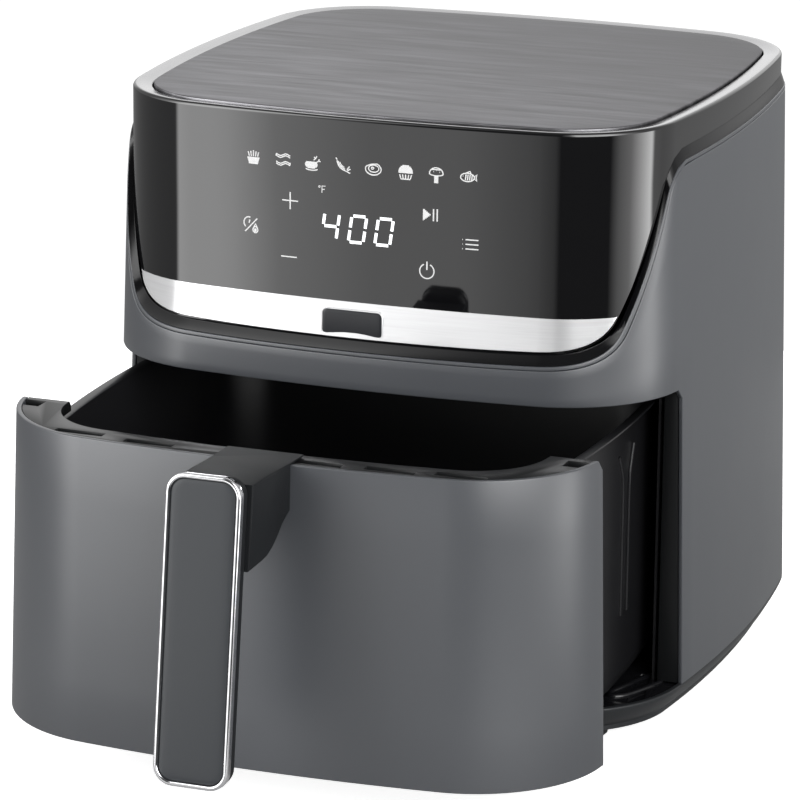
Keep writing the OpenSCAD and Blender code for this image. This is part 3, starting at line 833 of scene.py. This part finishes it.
def layBar(name, paths, radius, slot, rider, squash=None, cyclic=False):
    curve = barCurve(name, radius, 4)
    for path in paths:
        spline = curve.splines.new("NURBS" if len(path) > 3 else "POLY")
        spline.points.add(len(path) - 1)
        for point, place in zip(spline.points, path):
            point.co = tuple(c * mm for c in place) + (1.0,)
        spline.use_cyclic_u = cyclic
        spline.use_endpoint_u = not cyclic
        spline.order_u, spline.resolution_u = 3, 8
    bm = curveMesh(curve)
    if squash:
        level, share = squash
        for v in bm.verts:
            v.co.z = level * mm + (v.co.z - level * mm) * share
    return settle(finishMesh(bm, name, 60.0), slot, rider)


def makeDeckBeads():
    loop = ((115.5, -107.0), (120.5, -94.0), (124.5, -80.0), (128.5, -72.5), (134.5, -72.5), (135.5, -80.0),
            (131.0, -92.0), (125.5, -106.0), (119.5, -111.0))
    paths = [[(side * x, y, 19.5) for x, y in loop] for side in (1, -1)]
    layBar("deckBeads", paths, 1.6, "deck_black", "body", (19.5, 0.95), True)


def makePanBeads():
    paths = []
    for side in (1, -1):
        x = side * 123.35
        paths.append([(x, -114.5, 62), (x, -114.5, 96), (x, -114.5, 127), (x, -117.0, 134), (x, -122.0, 142)])
        paths.append([(x, -105.0, 62), (x, -105.0, 96), (x, -105.0, 128), (x, -102.5, 135), (x, -99.0, 143)])
    layBar("panBeads", paths, 0.85, "nonstick_black", "drawer")


makeDeckBeads()
makePanBeads()


# copies of plain CAD pieces with softened edges
def soften(node, width, segments=2):
    source = frame["nodes"][node]
    bm = bmesh.new()
    bm.from_mesh(source.data)
    bmesh.ops.remove_doubles(bm, verts=bm.verts[:], dist=2e-6)
    bmesh.ops.dissolve_limit(bm, angle_limit=math.radians(1.0), verts=bm.verts[:], edges=bm.edges[:])
    bevelSharp(bm, width, segments, 40.0)
    return settle(finishMesh(bm, node + "Soft", 40.0, False), slotOf[node], riderOf[node], node)


riderOf = {n: name for name, nodes in frame["record"]["behaviour"]["bodies"].items() for n in nodes}
for nodeName, width in (("drawer_cap", 0.5), ("base_deck", 0.4), ("window_frame", 0.4)):
    soften(nodeName, width)


# printed and lit signs, laid on the curved panel
signs = {"lift": 0.06, "thick": 0.22, "presetZ": 273.3,
         "presets": ((-54.2, 0.4), (-38.8, 0.4), (-23.6, 0.3), (-8.4, 0.0), (6.7, 0.0), (22.6, 0.0), (37.5, -0.2),
                     (53.1, -0.2))}


def arcPath(x, z, rx, rz, start, end, steps=14):
    angles = [math.radians(start + (end - start) * i / steps) for i in range(steps + 1)]
    return [(x + rx * math.cos(a), z + rz * math.sin(a)) for a in angles]


def shiftPath(path, x, z, lean=0.0):
    return [(x + u + w * lean, z + w) for u, w in path]


def hatch(shape, low, high, step=0.55):
    # level strokes that fill a shape given as left and right limits at a height
    rows, z = [], low
    while z <= high:
        left, right = shape(z)
        if right > left:
            rows.append([(left, z), (right, z)])
        z += step
    return rows


def layInk(name, strokes, radius, look):
    curve = barCurve(name, radius, 1)
    for path in strokes:
        spline = curve.splines.new("POLY")
        spline.points.add(len(path) - 1)
        for point, (x, z) in zip(spline.points, path):
            point.co = (x * mm, 0.0, z * mm, 1.0)
    bm = curveMesh(curve)
    for v in bm.verts:
        angle = headLine.angleAtX(v.co.x / mm)
        x, y = headLine.at(angle, signs["lift"] - v.co.y / mm * signs["thick"])
        v.co = Vector((x * mm, y * mm, v.co.z))
    return settle(finishMesh(bm, name, 60.0), "display_dark", "body", look=look)


def ellipse(x, z, rx, rz):
    def sides(at):
        half = rx * math.sqrt(max(0, 1 - ((at - z) / rz) ** 2))
        return (x - half, x + half)

    return sides


def presetPaths():
    fries = [[(x * 0.8, 0.2), (x, 3.0 - abs(x) * 0.25)] for x in (-2.7, -1.4, 0, 1.4, 2.7)]
    fries += hatch(lambda z: (-2.3 - (z + 3.4) * 0.28, 2.3 + (z + 3.4) * 0.28), -3.2, -0.2)
    strip = [(x, 0.55 * math.sin(x * 1.1)) for x in (-3.6, -2.4, -1.2, 0, 1.2, 2.4, 3.6)]
    bacon = [shiftPath(strip, 0, z) for z in (2.4, 1.5, -1.3, -2.2)]
    bacon += [[(-3.6, 2.6), (-3.6, 1.6)], [(3.6, -1.2), (3.6, -2.2)]]
    roast = hatch(ellipse(-0.8, -0.8, 3.2, 2.0), -2.4, 0.8)
    roast += [[(1.6, 0.2), (3.0, 1.2), (3.9, 0.9)], [(3.0, 1.2), (3.2, 2.0)], [(0.4, 1.4), (1.4, 2.2), (2.0, 3.4)]]
    roast += [[(1.4, 2.2), (0.6, 2.9)], arcPath(-0.6, -2.6, 3.2, 0.9, 200, 340, 6)]
    shrimp = [arcPath(2.0, 3.2, 5.0, 5.2, 185, 262, 9), arcPath(2.0, 3.2, 4.4, 4.5, 190, 258, 9)]
    shrimp += [arcPath(2.0, 3.2, 3.8, 3.8, 200, 250, 7), [(1.4, -2.0), (3.6, -3.0)], [(2.0, -1.4), (3.2, 0.2)]]
    shrimp += [[(2.2, -1.8), (3.8, -1.0)], [(-3.0, 3.0), (-3.6, 4.0)]]
    steak = [arcPath(0, 0, 3.9, 2.7, 150, 400, 16), arcPath(0.2, 0.3, 2.6, 1.7, 0, 360)]
    steak += [arcPath(-0.4, 0.5, 0.6, 0.5, 0, 360, 8), [(-3.4, 1.3), (-1.0, 2.3), (2.0, 2.6), (3.2, 1.7)]]
    steak += [arcPath(0, -0.4, 3.4, 2.4, 210, 330, 8)]
    cake = hatch(ellipse(0, 0, 3.5, 3.4), -0.3, 3.0)
    cake += [[(x, -1.2), (x * 0.8, -3.2)] for x in (-2.9, -1.5, 0, 1.5, 2.9)] + [[(-2.3, -3.4), (2.3, -3.4)]]
    shroom = [arcPath(0, 0.6, 3.3, 2.8, -10, 190, 12), arcPath(0, 0.4, 3.2, 0.8, 180, 360, 8)]
    shroom += [[(-1.4, 1.5), (-1.2, 1.5)], [(0.0, 2.2), (0.2, 2.2)], [(1.5, 1.4), (1.7, 1.4)]]
    shroom += hatch(lambda z: (-1.0, 1.0), -3.6, -0.4) + hatch(ellipse(0, 1.0, 2.8, 2.2), 2.5, 3.0)
    fish = [arcPath(-0.6, 0, 3.3, 2.0, 0, 360, 18), [(2.4, 0.2), (3.9, 1.6), (3.5, 0), (3.9, -1.6), (2.4, -0.2)]]
    fish += [[(x, -1.4), (x + 0.3, 1.4)] for x in (-1.6, -0.6, 0.4, 1.4)]
    fish += [[(-1.2, 2.1), (0.6, 2.9), (1.0, 2.0)], [(-2.8, 0.5), (-2.6, 0.5)]]
    drawn = zip((fries, bacon, roast, shrimp, steak, cake, shroom, fish), signs["presets"])
    return [shiftPath(path, x, signs["presetZ"] + up) for sign, (x, up) in drawn for path in sign]


def keyPaths():
    plusMinus = [[(-39.2, 254.5), (-31.0, 254.5)], [(-35.1, 250.4), (-35.1, 258.6)], [(-39.6, 227.4), (-31.6, 227.4)]]
    power = [arcPath(33.5, 227.0, 3.5, 3.5, 115, 425, 20), [(33.5, 227.6), (33.5, 231.6)]]
    play = hatch(lambda z: (31.3, 31.3 + (2.9 - abs(z - 254.0)) * 1.3), 251.3, 256.7)
    play += [[(x, 251.1), (x, 256.9)] for x in (36.4, 38.2)]
    menu = [[(left, z), (right, z)] for left, right in ((52.0, 58.2), (50.5, 50.7)) for z in (243.6, 241.4, 239.2)]
    warm = [[(-58.4, 237.4), (-52.2, 244.0)], [(-56.4, 241.6), (-56.0, 243.2)]]
    warm += [arcPath(-56.6, 241.8, 2.5, 2.7, 70, 230, 8)]
    drop = [arcPath(-53.1, 238.6, 1.3, 1.5, 0, 360, 10), [(-53.9, 239.8), (-53.0, 241.6), (-52.3, 239.8)]]
    drop += hatch(ellipse(-53.1, 238.4, 0.7, 0.9), 237.8, 239.2)
    return plusMinus + power + play + menu + warm + drop


def unitPaths():
    letter = [[(-18.9, 259.8), (-18.9, 263.0), (-17.2, 263.0)], [(-18.9, 261.5), (-17.5, 261.5)]]
    return letter + [arcPath(-20.2, 262.7, 0.4, 0.4, 0, 360, 8)]


def digitPaths():
    w, h, gap, slant = 7.4, 6.3, 0.75, 0.14
    bars = {"top": ((gap, h), (w - gap, h)), "mid": ((gap, 0), (w - gap, 0)), "bottom": ((gap, -h), (w - gap, -h)),
            "upLeft": ((0, gap), (0, h - gap)), "upRight": ((w, gap), (w, h - gap)),
            "lowLeft": ((0, -gap), (0, gap - h)), "lowRight": ((w, -gap), (w, gap - h))}
    four = ("upLeft", "mid", "upRight", "lowRight")
    zero = ("top", "bottom", "upLeft", "upRight", "lowLeft", "lowRight")
    paths = []
    for x, z, digit in ((-18.2, 244.25, four), (-4.6, 243.9, zero), (8.6, 243.8, zero)):
        paths += [shiftPath(bars[key], x, z, slant) for key in digit]
    return paths


layInk("presetSigns", presetPaths(), 0.3, "print_white")
layInk("keySigns", keyPaths(), 0.33, "print_white")
layInk("unitSign", unitPaths(), 0.22, "print_white")
layInk("digits", digitPaths(), 0.8, "digit_glow")
print("drawer done")


# floor and studio: light by compass direction, in degrees from the front towards the right, near the floor and above
studio = {"floorR": 0.62, "floorGlow": 0.85, "behind": 1.1, "zenith": 0.15, "strength": 5.0,
          "low": ((-180, 0.35), (-152, 0.25), (-60, 0.24), (-55, 0.25), (-51, 3.0), (-33, 2.8), (-28, 1.5),
                  (-20, 1.0), (-12, 0.95), (-5, 0.48), (9, 0.3), (14, 0.05), (62, 0.05), (72, 0.8), (84, 1.3),
                  (96, 3.0), (109, 5.0), (113, 0.7), (125, 0.5), (160, 0.4)),
          "high": ((-180, 1.5), (-155, 1.2), (-130, 0.4), (-95, 0.5), (-66, 1.8), (-50, 4.8), (-34, 5.0),
                   (-26, 0.8), (-18, 0.05), (14, 0.05), (22, 0.9), (29, 4.6), (64, 5.0), (80, 1.6), (100, 0.5),
                   (150, 0.5), (175, 1.5))}


def makeStudio():
    bm = bmesh.new()
    bmesh.ops.create_circle(bm, cap_ends=True, segments=96, radius=studio["floorR"])
    floor = finishMesh(bm, "floor", fixNormals=False)
    paper = Finish("floorPaper", (0.93, 0.93, 0.93), 0.6, glow=studio["floorGlow"])
    seen = paper.out(paper.node("LightPath"), "Is Camera Ray")
    paper.link("Base Color", paper.mix(seen, (0.3, 0.3, 0.3), (0.93, 0.93, 0.93)))
    paper.link("Emission Color", paper.mix(seen, (0.1, 0.1, 0.1), (1.0, 1.0, 1.0)))
    floor.data.materials.append(paper.material)
    world = bpy.data.worlds.new("studio")
    world.use_nodes = True
    g = Graph(world.node_tree)
    split = g.node("SeparateXYZ", Vector=g.out(g.node("TexCoord"), "Generated"))
    x, y, z = (g.out(split, i) for i in range(3))
    turn = x.join("ARCTAN2", y * -1.0) * (0.5 / math.pi) + 0.5
    full = studio["strength"]

    def profile(key):
        stops = sorted((((angle + 180) % 360) / 360, light / full) for angle, light in studio[key])
        return g.ramp(turn, [(0.0, stops[0][1])] + stops + [(1.0, stops[0][1])])

    rise = g.ramp(z * 0.5 + 0.5, ((0.0, 0.0), (0.475, 0.0), (0.54, 1.0), (1.0, 1.0)))
    crown = g.ramp(z, ((0.0, 0.0), (0.6, 0.0), (0.95, 1.0)))
    sides = g.mix(rise, profile("low"), profile("high"))
    lit = g.mix(crown, sides, (studio["zenith"] / full,) * 3)
    seen = g.out(g.node("LightPath"), "Is Camera Ray")
    back = world.node_tree.nodes["Background"]
    g.feed(back.inputs["Color"], g.mix(seen, lit, (studio["behind"] / full,) * 3))
    back.inputs["Strength"].default_value = full
    bpy.context.scene.world = world


makeStudio()
bpy.context.scene.view_settings.view_transform = "Standard"
